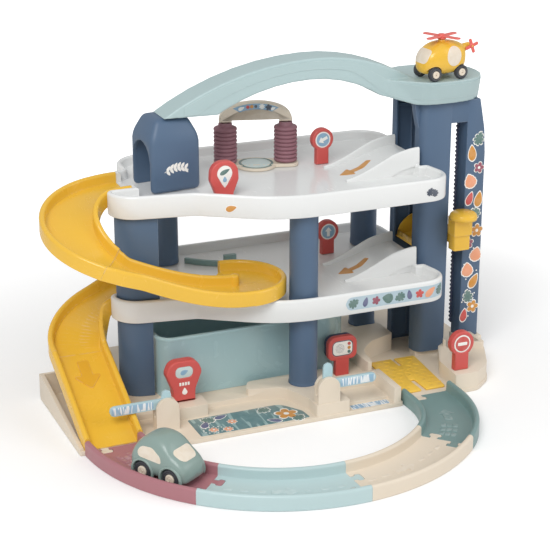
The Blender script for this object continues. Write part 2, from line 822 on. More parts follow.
def road():
    """Four curved pieces of road, joined by jigsaw tabs in their floors."""
    start_x, first = road_start()
    end_x, last = road_end()
    first_joint, middle_joint, last_joint = ROAD_JOINTS
    opening = road_arc(first, ROAD_FIRST_RADIUS, 187.0, first_joint, 6)[2:]
    closing = road_arc(last, ROAD_LAST_RADIUS, last_joint, 360.0, 6)[:-1]
    paths = {
        "mauve": [(start_x, ROAD_START_Y), (start_x, ROAD_START_Y - 0.003)] + opening,
        "ice_blue": road_arc(ROAD_CENTRE, ROAD_RADIUS, first_joint, middle_joint, 6),
        "cream": road_arc(ROAD_CENTRE, ROAD_RADIUS, middle_joint, last_joint, 6),
        "grey_green": closing + [(end_x, ROAD_END_Y)],
    }
    pieces = {}
    for colour, path in paths.items():
        pieces[colour] = swept("road_" + colour, [(x, y, LANE_TOP) for x, y in path], track_section())
    low, high = LANE_TOP - SHEET, LANE_TOP
    ordered = list(pieces.values())
    for joint, before, after in zip(ROAD_JOINTS, ordered, ordered[1:]):
        across = math.radians(joint)
        ahead = across + math.pi / 2
        for side, owner, other in ((-1, before, after), (1, after, before)):
            out = ROAD_RADIUS + side * TAB_OFFSET
            place = (ROAD_CENTRE[0] + out * math.cos(across), ROAD_CENTRE[1] + out * math.sin(across))
            heading = ahead if owner is before else ahead + math.pi
            cut(other, tab(place, heading, GAP * 2, low - 0.002, high + 0.002))
            join(owner, tab(place, heading, 0, low + TAB_SINK, high - TAB_SINK))
    for piece, place in zip((ordered[0], ordered[-1]), road_tabs()):
        cut(piece, tab(place, -math.pi / 2, GAP * 2, low - 0.002, high + 0.002))
    return [finish(piece, colour) for colour, piece in pieces.items()]


def road_tabs():
    """Where the ground floor's own tabs reach into the road's two ends."""
    return (road_start()[0] - 0.014, RAMP_FOOT_Y), (road_end()[0] - 0.014, ROAD_END_Y + 0.0006)


# Ground floor


# The flange stands along the ramp's outer side, and the base ends just outside it
FLANGE_RIGHT = road_start()[0] - TRACK_HALF - GAP * 2
BASE_LEFT = FLANGE_RIGHT - FLANGE_THICK - 0.0002

BASE_CORNERS = [
    (BASE_LEFT, RAMP_FOOT_Y, 0.002),
    (road_start()[0] + TRACK_HALF + 0.0062, RAMP_FOOT_Y, 0.003),
    (-0.2125, -0.0530, 0.008),
    (-0.1620, -0.0860, 0.020),
    (0.1690, -0.0860, 0.003),
    (0.1690, ROAD_END_Y + 0.0006, 0.001),
    (0.2553, ROAD_END_Y + 0.0006, 0.001),
    (0.2553, -0.0800, 0.003),
    (0.2980, -0.0800, 0.022),
    (0.3290, -0.0540, 0.040),
    (0.3560, 0.0020, 0.020),
    (0.3560, 0.0400, 0.004),
    (0.3760, 0.0400, 0.006),
    (0.3760, 0.2720, 0.030),
    (-0.2300, 0.2720, 0.030),
    (-0.2300, 0.1500, 0.005),
    (BASE_LEFT, 0.1500, 0.005),
]

PLATFORM_CORNERS = [
    (-0.2200, 0.0050, 0.010),
    (0.1560, 0.0050, 0.003),
    (0.1560, 0.1480, 0.003),
    (0.3700, 0.1520, 0.012),
    (0.3700, 0.2660, 0.025),
    (-0.2250, 0.2660, 0.025),
    (-0.2250, 0.1420, 0.004),
    (-0.2200, 0.1420, 0.002),
]

ISLAND_CORNERS = [
    (-0.0400, 0.0155, 0.003),
    (-0.0400, 0.0080, 0.003),
    (0.0120, -0.0050, 0.020),
    (0.0300, -0.0560, 0.024),
    (0.0300, -0.0845, 0.003),
    (0.0830, -0.0845, 0.003),
    (0.0830, -0.0100, 0.003),
    (0.1000, -0.0100, 0.003),
    (0.1000, 0.0350, 0.010),
    (-0.0300, 0.0350, 0.010),
]

BLOCK_CORNERS = [
    (0.2600, -0.0785, 0.004),
    (0.2975, -0.0785, 0.021),
    (0.3277, -0.0533, 0.039),
    (0.3545, 0.0023, 0.019),
    (0.3545, 0.0475, 0.003),
    (0.3110, 0.0475, 0.004),
    (0.2900, 0.0330, 0.008),
    (0.2640, -0.0200, 0.020),
]

CURB_CORNERS = [
    (0.2925, 0.0315, 0.007),
    (0.3535, -0.0040, 0.004),
    (0.3535, 0.0468, 0.003),
    (0.3120, 0.0468, 0.004),
]

GUIDE_CORNERS = [
    (0.1560, 0.0080, 0.004),
    (0.1640, 0.0080, 0.004),
    (0.1700, 0.0560, 0.050),
    (0.2000, 0.0840, 0.030),
    (0.2440, 0.1000, 0.004),
    (0.2440, 0.1480, 0.003),
    (0.1560, 0.1480, 0.003),
]


def gate_post(gate):
    """A round-topped post."""
    x, y = gate["post"]
    half = POST_WIDE / 2
    outline = [(x - half, LANE_TOP / 2), (x + half, LANE_TOP / 2)] + arc((x, gate["pin"]), half, 0, 180, 10)
    return side_plate("post", [outline], y - POST_DEEP / 2, y + POST_DEEP / 2)


def gate_cuts(gate):
    """What a gate's post leaves out: the arm's slot and the holes for its pin."""
    x, y = gate["post"]
    pin = gate["pin"]
    half = POST_SLOT / 2
    slot = box("slot", (x - POST_WIDE, y - half, pin - 0.0115), (x + POST_WIDE, y + half, pin + 0.05))
    reach = POST_DEEP * 0.42
    hole = rod("pin_hole", (x, y - reach, pin), (x, y + reach, pin), GATE_PIN + GAP, steps=12)
    return slot, hole


def base():
    """The cream ground floor with everything moulded on it."""
    floor = plate("base", [rounded(BASE_CORNERS, 5)], 0.0, LANE_TOP)
    bed = LANE_TOP / 2
    join(floor, plate("platform", [rounded(PLATFORM_CORNERS, 4)], bed, PLATFORM_TOP))
    join(floor, plate("island", [rounded(ISLAND_CORNERS, 5)], bed, ISLAND_TOP))
    join(floor, plate("block", [rounded(BLOCK_CORNERS, 6)], bed, BLOCK_TOP))
    join(floor, plate("curb", [rounded(CURB_CORNERS, 4)], bed + 0.001, BLOCK_TOP + 0.010))
    join(floor, plate("guide", [rounded(GUIDE_CORNERS, 5)], bed, BLOCK_TOP + 0.004))
    join(floor, box("pillar_seat", (0.3355, 0.0460, bed + 0.0005), (0.3745, 0.0800, BLOCK_TOP - 0.0002)))
    join(floor, box("tower_seat", (0.2645, 0.0605, bed), (0.3105, 0.0790, TOWER_SEAT)))
    join(floor, box("bay_back", (0.0900, -0.0180, bed), (0.1650, -0.0110, BLOCK_TOP)))
    join(floor, box("bay_side", (0.1545, -0.0850, bed), (0.1650, -0.0140, BLOCK_TOP + 0.0002)))
    join(floor, box("bay_step", (0.0820, -0.0640, bed), (0.1560, -0.0120, 0.0095)))
    island = rounded(box_outline(-0.1640, -0.0180, -0.1100, 0.0215, 0.006), 4)
    join(floor, plate("pump_island", [island], bed + 0.0005, ISLAND_TOP))
    flange = [(RAMP_FOOT_Y + 0.004, bed), (0.1480, bed), (0.1480, 0.0400), (0.1340, 0.0400),
              (RAMP_FOOT_Y + 0.004, 0.0090)]
    join(floor, end_plate("flange", [flange], FLANGE_RIGHT - FLANGE_THICK, FLANGE_RIGHT))
    back_left = FLANGE_RIGHT - FLANGE_THICK + 0.0003
    join(floor, box("flange_back", (back_left, 0.1425, bed), (-0.2280, 0.1480, 0.0400)))
    for gate in (GATE_LEFT, GATE_RIGHT):
        join(floor, gate_post(gate))
        cut(floor, *gate_cuts(gate))
    for place in road_tabs():
        join(floor, tab(place, -math.pi / 2, 0, LANE_TOP - SHEET + TAB_SINK, LANE_TOP - TAB_SINK))
    for (x, y), top in ((FRONT_COLUMN, ISLAND_TOP), (BACK_LEFT_COLUMN, PLATFORM_TOP),
                        (BACK_RIGHT_COLUMN, PLATFORM_TOP)):
        socket_radius = COLUMN_RADIUS + 0.0008
        cut(floor, rod("socket", (x, y, top - SOCKET_DEEP), (x, y, top + 0.01), socket_radius, steps=24))
    x, y = (SLOT_LEFT + SLOT_RIGHT) / 2, HANDLE_Y
    well_low = LANE_TOP + 0.0018
    cut(floor, box("handle_well", (x - 0.0235, y - 0.0262, well_low), (x + 0.0235, TOWER_FRONT, 0.1)))
    for x0, x1, y0, y1, roof in underside_pockets():
        cut(floor, box("pocket", (x0, y0, -0.01), (x1, y1, roof)))
    return finish(floor, "cream")


def underside_pockets():
    """The hollows moulded into the ground floor from below, between its ribs."""
    pockets = [(-0.150, -0.016, -0.078, -0.012, 0.0035), (0.176, 0.274, -0.064, 0.044, 0.0035),
               (-0.308, -0.235, -0.048, 0.138, 0.0035), (0.170, 0.300, 0.060, 0.140, 0.0035)]
    for x0, x1 in ((-0.214, -0.130), (-0.124, -0.054), (-0.048, 0.022), (0.028, 0.098), (0.104, 0.150)):
        for y0, y1 in ((0.046, 0.130), (0.136, 0.198)):
            pockets.append((x0, x1, y0, y1, 0.0115))
    return pockets


def lift_plate():
    """The yellow plate between the road's end and the lift, with its two notches."""
    corners = [(0.1840, -0.0630, 0.003), (0.2510, -0.0630, 0.003),
               (0.2615, 0.0590, 0.004), (0.1835, 0.0590, 0.003)]
    low, high = LANE_TOP + GAP, LANE_TOP + GAP + 0.0030
    made = plate("lift_plate", [rounded(corners, 3)], low, high)
    cut(made, box("back_notch", (0.2210, 0.0310, 0), (0.2270, 0.0700, 0.02)))
    cut(made, box("front_notch", (0.2110, -0.0700, 0), (0.2190, -0.0240, 0.02)))
    return finish(made, "yellow")


def ground_tray():
    """The pale open tray that walls the ground floor's garage in."""
    corners = [(TRAY_LEFT, 0.0440, 0.022), (0.1500, 0.0440, 0.060),
               (0.1500, 0.1900, 0.020), (TRAY_LEFT, 0.1900, 0.006)]
    bottom = PLATFORM_TOP + GAP
    top = 0.1080
    tray = plate("ground_tray", [rounded(corners, 6)], bottom, top)
    cut(tray, plate("hollow", [rounded(shifted(corners, SHEET), 6)], bottom + SHEET, top + 0.02))
    ledge = plate("ledge", [rounded(shifted(corners, -0.0018), 6), rounded(shifted(corners, 0.001), 6)],
                  top - 0.0050, top - 0.0004)
    join(tray, ledge)
    return finish(tray, "panel_teal")


# Lift tower


def lift_front():
    """The tower's front moulding: upright and pillar with the handle's slot between."""
    back = TOWER_FRONT + PILLAR_DEEP
    low = TOWER_SEAT + GAP
    upright = rounded([(UPRIGHT_LEFT, back, 0), (UPRIGHT_LEFT, TOWER_FRONT + 0.002, 0.014),
                       (SLOT_LEFT, TOWER_FRONT, 0.003), (SLOT_LEFT, back, 0)], 5)
    tower = plate("lift_front", [upright], low, TOWER_TOP)
    pillar_low = BLOCK_TOP + GAP
    pillar = rounded([(SLOT_RIGHT, back, 0), (SLOT_RIGHT, TOWER_FRONT, 0.002),
                      (PILLAR_RIGHT, TOWER_FRONT, 0.006), (PILLAR_RIGHT, back, 0)], 4)
    join(tower, plate("pillar", [pillar], pillar_low, TOWER_TOP))
    bridge = rounded([(UPRIGHT_LEFT, back, 0), (UPRIGHT_LEFT, TOWER_FRONT + 0.002, 0.014),
                      (PILLAR_RIGHT, TOWER_FRONT, 0.006), (PILLAR_RIGHT, back, 0)], 5)
    join(tower, plate("bridge", [bridge], SLOT_TOP, TOWER_TOP))
    flare = [(UPRIGHT_LEFT - 0.0080, TOWER_TOP), (UPRIGHT_LEFT - 0.0060, TOWER_TOP - 0.014),
             (UPRIGHT_LEFT - 0.0020, TOWER_TOP - 0.034), (UPRIGHT_LEFT + 0.006, TOWER_TOP - 0.060),
             (UPRIGHT_LEFT + 0.012, TOWER_TOP)]
    join(tower, side_plate("flare", [flare], back - 0.012, back - 0.0002))
    # The pillar's right side leans in towards the top
    lean = [(PILLAR_RIGHT + 0.02, 0.27), (PILLAR_RIGHT, 0.27), (PILLAR_RIGHT - 0.001, 0.32),
            (PILLAR_RIGHT - 0.005, 0.365), (PILLAR_RIGHT - 0.0145, TOWER_TOP + 0.001),
            (PILLAR_RIGHT + 0.02, TOWER_TOP + 0.001)]
    cut(tower, side_plate("lean", [lean], TOWER_FRONT - 0.01, back + 0.01))
    skin = TOWER_SHEET
    cut(tower, box("upright_hollow", (UPRIGHT_LEFT + skin, TOWER_FRONT + 0.011, low + skin),
                   (SLOT_LEFT - skin, back + 0.01, TOWER_TOP - skin)))
    cut(tower, box("upright_hollow_front", (UPRIGHT_LEFT + 0.014, TOWER_FRONT + skin, low + skin),
                   (SLOT_LEFT - skin, back + 0.01, TOWER_TOP - skin)))
    cut(tower, box("pillar_hollow", (SLOT_RIGHT + skin, TOWER_FRONT + skin, pillar_low + skin),
                   (PILLAR_RIGHT - 0.0165, back + 0.01, TOWER_TOP - skin)))
    return finish(tower, "blue")


def lift_rack():
    """The toothed strip behind the slot, which the lift's pawl clicks along."""
    low, high = 0.046, SLOT_TOP - 0.004
    x0 = SLOT_RIGHT - 0.0005
    count = int((high - low) / RACK_PITCH)
    points = [(x0 + 0.0080, low), (x0, low)]
    for i in range(count):
        z = low + i * RACK_PITCH
        points += [(x0 - RACK_TOOTH, z + RACK_PITCH * 0.6), (x0, z + RACK_PITCH)]
    points += [(x0 + 0.0080, points[-1][1])]
    y = TOWER_FRONT + PILLAR_DEEP + GAP
    strip = side_plate("lift_rack", [points[::-1]], y, y + 0.0045)
    return finish(strip, "navy")


def lift_back():
    """The tower's back moulding, a channel open to the decks."""
    back, right, skin = SHAFT_BACK, SHAFT_RIGHT, TOWER_SHEET
    jamb_x = 0.2590
    outline = [(jamb_x, back + 0.008), (jamb_x, back - 0.006), (jamb_x + 0.004, back - 0.006),
               (jamb_x + 0.004, back), (right, back), (right, 0.0900), (right + skin, 0.0900),
               (right + skin, back + skin), (jamb_x + 0.004, back + skin), (jamb_x + 0.004, back + 0.008)]
    tower = plate("lift_back", [outline], LANE_TOP + GAP, TOWER_TOP)
    z = 0.392
    join(tower, box("frame", (jamb_x + 0.001, back - 0.004, z), (right + 0.001, back + 0.001, z + 0.004)))
    x = (jamb_x + right) / 2
    join(tower, box("guide_rib", (x - 0.0012, back - 0.0022, 0.012), (x + 0.0012, back + 0.001, 0.385)))
    return finish(tower, "blue")


def lift_carriage():
    """The yellow scoop that holds the car, with its neck out through the slot."""
    x0, x1 = 0.2637, SHAFT_RIGHT - 0.0012
    y0 = TOWER_FRONT + PILLAR_DEEP + 0.0012
    y1 = SHAFT_BACK - 0.0050
    z = CARRIAGE_Z
    wall = CARRIAGE_WALL
    reach = x1 - x0
    curve = [(x0 + reach * 0.75 - reach * 0.72 * math.cos(t), z + 0.002 + wall * math.sin(t))
             for t in [math.radians(a) for a in (0, 15, 30, 45, 60, 75, 90)]]
    profile = [(x0, z), (x1, z + 0.004), (x1, z + 0.002 + wall)] + curve[::-1] + [(x0, z + 0.002)]
    scoop = side_plate("lift_carriage", [profile], y0, y1)
    hollow = [(x0 - 0.01, z + 0.0022), (x1 - SHEET, z + 0.0065),
              (x1 - SHEET, z + 0.08), (x0 - 0.01, z + 0.08)]
    cut(scoop, side_plate("hollow", [hollow], y0 + SHEET, y1 - SHEET))
    neck_left = SLOT_LEFT + SLOT_PLAY + 0.001
    neck_right = SLOT_RIGHT - RACK_TOOTH - SLOT_PLAY - 0.0015
    join(scoop, box("neck_side", (x1 - 0.008, y0 + 0.0004, z + 0.008), (neck_right, y0 + 0.0080, z + 0.026)))
    join(scoop, box("neck", (neck_left, HANDLE_Y + 0.0105, z + 0.008), (neck_right, y0 + 0.0080, z + 0.026)))
    cut(scoop, box("neck_clear", (SHAFT_RIGHT - 0.0006, 0.0894, z - 0.01), (SLOT_RIGHT + 0.01, 0.2, z + 0.1)))
    return finish(scoop, "yellow")


def lift_handle():
    """The handle in front of the slot: a stepped body under a round cap."""
    x = (SLOT_LEFT + SLOT_RIGHT) / 2
    z = CARRIAGE_Z + 0.001
    y = HANDLE_Y
    back = TOWER_FRONT - SLOT_PLAY
    low = rounded(box_outline(x - 0.0140, y - 0.0110, x + 0.0140, back, 0.004), 3)
    mid = rounded(box_outline(x - 0.0175, y - 0.0145, x + 0.0175, back, 0.006), 3)
    handle = plate("lift_handle", [low], z, z + 0.030)
    join(handle, plate("middle", [mid], z + 0.0240, z + 0.052))
    top = z + 0.0625
    radius = HANDLE_CAP_RADIUS
    under = top - HANDLE_CAP_TALL
    dome = [(0, top), (radius * 0.75, top - 0.0008), (radius * 0.93, top - 0.0035), (radius, top - 0.0075),
            (radius * 0.97, top - 0.0120), (radius * 0.90, under), (0, under)]
    cap = turned("cap", dome, 20)
    cap.data.transform(Matrix.Translation((x, y - 0.003, 0)))
    join(handle, cap)
    cut(handle, box("trim", (x - 0.05, back, 0), (x + 0.05, back + 0.05, 0.5)))
    neck_left = SLOT_LEFT + SLOT_PLAY + 0.001
    neck_right = SLOT_RIGHT - RACK_TOOTH - SLOT_PLAY - 0.0015
    socket = box("socket", (neck_left - GAP, HANDLE_Y + 0.0105 - GAP, CARRIAGE_Z + 0.008 - GAP),
                 (neck_right + GAP, back + 0.05, CARRIAGE_Z + 0.026 + GAP))
    cut(handle, socket)
    return finish(handle, "yellow")


# Arch, pad and tunnel tower


def arch_profile():
    """The arch in X and Z: outer and inner curves, each of two arcs that meet at the crown."""
    foot_z = tunnel_top() - 0.012
    x, z = ARCH_CROWN
    left, right = ARCH_OUTER
    outer = arc((x, z - left), left, foot_angle(z - left, left, foot_z), 90, 8)
    outer += arc((x, z - right), right, 90, 54, 7)[1:]
    x_in, z_in = x - 0.006, z - ARCH_THICK
    left, right = ARCH_INNER
    inner = arc((x_in, z_in - right), right, 47, 90, 6)
    inner += arc((x_in, z_in - left), left, 90, foot_angle(z_in - left, left, foot_z), 7)[1:]
    return outer + inner


def tunnel_top():
    return floor_z(1) + GAP + TUNNEL_SIZE[2]


def lean(obj):
    """Turns the arch's left end back and down, in a straight slant, to stand on the tunnel tower."""
    for vertex in obj.data.vertices:
        vertex.co += Vector(ARCH_LEAN) * (ARCH_LEAN_FROM - vertex.co.x)
    return obj


def foot_angle(centre_z, radius, foot_z):
    """The angle at which an arc of the arch comes down to the tunnel tower's top."""
    return 180 - math.degrees(math.asin((foot_z - centre_z) / radius))


def arch_handle():
    """The carrying arch, which ends in the helicopter's pad."""
    arch = side_plate("arch_handle", [arch_profile()], ARCH_Y - ARCH_DEEP / 2, ARCH_Y + ARCH_DEEP / 2)
    soften(lean(arch), 0.007, 3, 50)
    cut(arch, box("foot", (-0.3, 0, 0.3), (0.0, 0.3, tunnel_top() + GAP)))
    side = ARCH_LEAN[1] * (ARCH_LEAN_FROM - 0.2100)
    front, back = ARCH_Y - ARCH_DEEP / 2 + side + 0.0005, ARCH_Y + ARCH_DEEP / 2 + side - 0.0005
    pad = [(0.2100, front, 0.020), (0.2650, 0.0310, 0.030), (0.3680, 0.0310, 0.055),
           (0.3680, 0.1550, 0.050), (0.2650, 0.1550, 0.030), (0.2100, back, 0.020)]
    top = plate("pad", [rounded(pad, 5)], PAD_BOTTOM, PAD_TOP)
    for vertex in top.data.vertices:
        if vertex.co.z < PAD_BOTTOM + 0.001:
            vertex.co.y = 0.0930 + (vertex.co.y - 0.0930) * 0.8
    soften(top, 0.0035, 2, 50)
    join(arch, top)
    under = [(0.1000, 0.3900), (0.2480, 0.3900), (0.2480, PAD_BOTTOM + 0.0001),
             (0.2050, 0.4265), (0.1500, 0.4440)]
    cut(arch, side_plate("under", [under], 0.0, 0.2))
    hollow = [(0.2620, 0.0600, 0.010), (0.3500, 0.0600, 0.030),
              (0.3500, 0.1400, 0.030), (0.2620, 0.1400, 0.010)]
    cut(arch, plate("hollow", [rounded(hollow, 4)], PAD_BOTTOM - 0.01, PAD_TOP - 0.005))
    inside = ARCH_CROWN[1] - ARCH_THICK
    grip = rounded([(0.012, 0.30, 0), (0.150, 0.30, 0), (0.143, inside - 0.004, 0.004),
                    (0.082, inside + 0.009, 0.090), (0.018, inside - 0.003, 0.004)], 4)
    reach = ARCH_DEEP / 2 - 0.006
    cut(arch, lean(side_plate("grip", [grip], ARCH_Y - reach, ARCH_Y + reach)))
    return finish(arch, "pale_teal")


def tunnel_tower():
    """The blue housing that cars drive through to the spiral."""
    wide, deep, tall = TUNNEL_SIZE
    low = floor_z(1) + GAP
    mesh = bpy.data.meshes.new("tunnel_tower")
    shape = bmesh.new()
    matrix = Matrix.Translation((0, 0, low + tall / 2)) @ Matrix.Diagonal((wide, deep, tall, 1))
    bmesh.ops.create_cube(shape, size=1, matrix=matrix)
    bmesh.ops.bisect_plane(shape, geom=shape.verts[:] + shape.edges[:] + shape.faces[:],
                           plane_co=(0, 0, low + tall - 0.028), plane_no=(0, 0, 1))
    for vertex in shape.verts:
        if vertex.co.z > low + tall - 0.001:
            vertex.co.x *= 0.66
            vertex.co.y *= 0.70
    shape.to_mesh(mesh)
    shape.free()
    tower = bpy.data.objects.new("tunnel_tower", mesh)
    PARTS.objects.link(tower)
    soften(tower, 0.008, 3, 20)
    half = TUNNEL_WIDE / 2
    opening = [(-half, low - 0.01), (half, low - 0.01)] + arc((0, low + TUNNEL_TALL - half), half, 0, 180, 10)
    cut(tower, end_plate("opening", [opening], -wide, wide))
    cut(tower, box("upper_hollow", (-wide / 2 + 0.006, -deep / 2 + 0.007, low + 0.020),
                   (wide / 2 - 0.006, deep / 2 - 0.007, low + tall - 0.032)))
    place = standing(TUNNEL_AT, TUNNEL_TURN)
    tower.matrix_world = place
    for modifier in tower.modifiers:
        if modifier.type == "BOOLEAN":
            modifier.object.matrix_world = place @ modifier.object.matrix_world
    return finish(tower, "blue")


# Car wash


def wash_place(x, y, z):
    """A point of the car wash, drawn about its middle, where it stands on the deck."""
    spot = Matrix.Rotation(WASH_TURN, 4, "Z") @ Vector((x, y, z))
    return Vector((spot.x + WASH_AT[0], spot.y + WASH_AT[1], z))


def wash_roller_z():
    return floor_z(1) + GAP + 0.0050 + RUN


def car_wash():
    """Base, arch and two ribbed rollers on upright pins."""
    low = floor_z(1) + GAP
    strip = rounded(box_outline(-WASH_SPAN / 2 - 0.019, -0.019, WASH_SPAN / 2 + 0.019, 0.019, 0.012), 4)
    foot = plate("wash_base", [strip], low, low + 0.0050)
    oval = [(0.031 * math.cos(t), -0.006 + 0.034 * math.sin(t)) for t in
            [math.radians(15 * i) for i in range(24)]]
    join(foot, plate("oval", [oval], low + 0.0001, low + 0.0042))
    roller_low = wash_roller_z()
    for side in (-1, 1):
        x = side * WASH_SPAN / 2
        pin_top = roller_low + ROLLER_TALL * 0.5
        join(foot, rod("pin", (x, 0, low + 0.002), (x, 0, pin_top), WASH_PIN, steps=14))
    moved(foot, standing(WASH_AT, WASH_TURN))
    finish(foot, "cream")

    top = low + WASH_ARCH_TOP
    inner_low = roller_low + ROLLER_TALL + 0.0075
    half = WASH_SPAN / 2
    outer = [((half + 0.0095) * math.cos(t), inner_low + (top - inner_low) * math.sin(t) ** 0.8)
             for t in [math.radians(a) for a in range(0, 181, 15)]]
    inner = [((half - 0.0095) * math.cos(t), inner_low + (top - inner_low - 0.013) * math.sin(t) ** 0.9)
             for t in [math.radians(a) for a in range(180, -1, -15)]]
    bow = side_plate("wash_arch", [outer + inner], -0.008, 0.008)
    for side in (-1, 1):
        x = side * half
        join(bow, rod("stub", (x, 0, roller_low + ROLLER_TALL * 0.5 + GAP), (x, 0, inner_low + 0.004),
                      WASH_PIN, steps=14))
    moved(bow, standing(WASH_AT, WASH_TURN))
    finish(bow, "cream")

    rollers = []
    for side, name in ((-1, "wash_roller_left"), (1, "wash_roller_right")):
        collar = roller_low + ROLLER_TALL + 0.0060
        profile = [(WASH_PIN + RUN, collar), (0.0100, collar), (0.0108, roller_low + ROLLER_TALL)]
        pitch = ROLLER_TALL / ROLLER_RIBS
        for rib in range(ROLLER_RIBS):
            z = roller_low + ROLLER_TALL - rib * pitch
            profile += [(ROLLER_RADIUS - 0.0022, z - pitch * 0.10), (ROLLER_RADIUS, z - pitch * 0.55)]
        profile += [(ROLLER_RADIUS - 0.0022, roller_low), (WASH_PIN + RUN, roller_low)]
        profile.append(profile[0])
        roller = turned(name, profile, 12)
        spot = wash_place(side * half, 0, 0)
        roller.data.transform(Matrix.Translation((spot.x, spot.y, 0)))
        axis = hinge(name + "_axis", (spot.x, spot.y, roller_low))
        hang(finish(roller, "plum"), axis)
        rollers.append(roller)
    return foot, bow, rollers


# Signs, rail and gates


def round_sign(name, x, y, z, radius, tall, stem, thick=0.012):
    """A round head on a straight stem, seen from the front."""
    centre = z + tall - radius
    dip = math.degrees(math.asin(stem / 2 / radius))
    outline = [(x - stem / 2, z), (x + stem / 2, z)] + arc((x, centre), radius, -90 + dip, 270 - dip, 18)
    sign = side_plate(name, [outline], y - thick / 2, y + thick / 2)
    soften(sign, 0.0014, 1, 45)
    return finish(sign, "red")


def pin_sign(name, x, y, z):
    """The sign with the drop-shaped head."""
    outline = rounded([(x - 0.0135, z, 0), (x + 0.0135, z, 0), (x + 0.0135, z + 0.006, 0.006),
                       (x + 0.0215, z + 0.026, 0.010), (x + 0.0200, z + 0.054, 0.0180),
                       (x - 0.0200, z + 0.054, 0.0180), (x - 0.0215, z + 0.026, 0.010),
                       (x - 0.0135, z + 0.006, 0.006)], 4)
    sign = side_plate(name, [outline], y - 0.006, y + 0.006)
    soften(sign, 0.0014, 1, 45)
    return finish(sign, "red")


def pump_sign(name, x, y, z):
    """The pump: a broad head that narrows to its foot."""
    outline = rounded([(x - 0.0165, z, 0.001), (x + 0.0165, z, 0.001), (x + 0.0170, z + 0.018, 0.02),
                       (x + 0.0275, z + 0.044, 0.012), (x + 0.0200, z + 0.063, 0.016),
                       (x - 0.0200, z + 0.063, 0.016), (x - 0.0275, z + 0.044, 0.012),
                       (x - 0.0170, z + 0.018, 0.02)], 4)
    sign = side_plate(name, [outline], y - 0.008, y + 0.008)
    soften(sign, 0.0020, 1, 45)
    return finish(sign, "red")


def scanner(x, y, z):
    """The scanner: a red face on a stem, and the dark back half of its head."""
    head = [(x - 0.0240, z + 0.026, 0.010), (x + 0.0240, z + 0.026, 0.010), (x + 0.0240, z + 0.064, 0.013),
            (x - 0.0240, z + 0.064, 0.013)]
    face = side_plate("scanner_face", [rounded(head, 4)], y - 0.010, y)
    stem = box_outline(x - 0.0110, z, x + 0.0110, z + 0.032)
    join(face, side_plate("stem", [rounded(stem)], y - 0.0095, y + 0.0005))
    soften(face, 0.0012, 1, 45)
    back_head = [(a, b, c) for a, b, c in shifted(head, 0.0010)]
    back = side_plate("scanner_back", [rounded(back_head, 4)], y + 0.0005 + GAP, y + 0.0095)
    soften(back, 0.0016, 1, 45)
    return finish(face, "red"), finish(back, "navy")


def rail():
    """The low grey-green rail on the lower deck, with the block at its end."""
    z = floor_z(0) + GAP
    path = [(-0.0550, 0.2295), (-0.0420, 0.2165), (-0.0290, 0.2055), (-0.0100, 0.1940), (0.0000, 0.1890)]
    made = plate("deck_rail", [band(path, 0.0030)], z, z + 0.0085)
    block = rounded(box_outline(-0.0060, 0.1840, 0.0140, 0.1930, 0.002), 3)
    join(made, plate("block", [block], z, z + 0.0190))
    return finish(made, "grey_green")


def gate_arm(name, gate):
    """A gate's arm with its upright tab, on the pin in its post."""
    (x, y), pin, low = gate["post"], gate["pin"], gate["low"]
    side = math.copysign(1, gate["reach"])
    end = x + gate["reach"]
    start = x - side * 0.0070
    high = low + ARM_TALL
    left, right = sorted(((start, 0.003), (end, 0.006)))
    outline = rounded([(left[0], low, left[1]), (right[0], low, right[1]),
                       (right[0], high, right[1]), (left[0], high, left[1])], 4)
    half = ARM_THICK / 2
    arm = side_plate(name, [outline], y - half, y + half)
    upright = rounded([(x - 0.0070, pin - 0.0045, 0.004), (x + 0.0070, pin - 0.0045, 0.004),
                       (x + 0.0070, gate["tab"], 0.0065), (x - 0.0070, gate["tab"], 0.0065)], 4)
    join(arm, side_plate("tab", [upright], y - half + 0.0001, y + half - 0.0001))
    reach = POST_DEEP * 0.38
    join(arm, rod("pin", (x, y - reach, pin), (x, y + reach, pin), GATE_PIN, steps=12))
    finish(arm, "arm_blue")
    return hang(arm, hinge(name + "_axis", (x, y, pin)))


# Vehicles


def wheel_set(prefix, origin, heading, along, track, tyre_radius, tyre_wide):
    """An axle with its two hubs, and the two tyres on them."""
    ahead = Vector((math.cos(heading), math.sin(heading), 0))
    side = Vector((-ahead.y, ahead.x, 0))
    centre = Vector(origin) + ahead * along
    hub_outer = track / 2 + tyre_wide / 2 + 0.0008
    hub_inner = track / 2 - tyre_wide / 2
    hub = tyre_radius * 0.52
    end = side * (hub_inner + 0.002)
    axle = rod(prefix + "_axle", centre - end, centre + end, AXLE_RADIUS, steps=10)
    for sign in (-1, 1):
        join(axle, rod("hub", centre + side * sign * hub_inner, centre + side * sign * hub_outer, hub, steps=12))
    finish(axle, "cream")
    tyres = []
    for sign, where in ((1, "left"), (-1, "right")):
        half = tyre_wide / 2
        bore = hub + GAP
        profile = [(bore, half), (tyre_radius - 0.0016, half), (tyre_radius, half - 0.0018),
                   (tyre_radius, -half + 0.0018), (tyre_radius - 0.0016, -half), (bore, -half), (bore, half)]
        tyre = turned(f"{prefix}_tyre_{where}", profile, 14)
        turn = Vector((0, 0, 1)).rotation_difference(side).to_matrix().to_4x4()
        spot = centre + side * sign * track / 2
        tyre.data.transform(Matrix.Translation(spot) @ turn)
        tyres.append(finish(tyre, "tyre"))
    axis = hinge(prefix + "_axis", centre)
    for piece in (axle, *tyres):
        hang(piece, axis)
    return axis


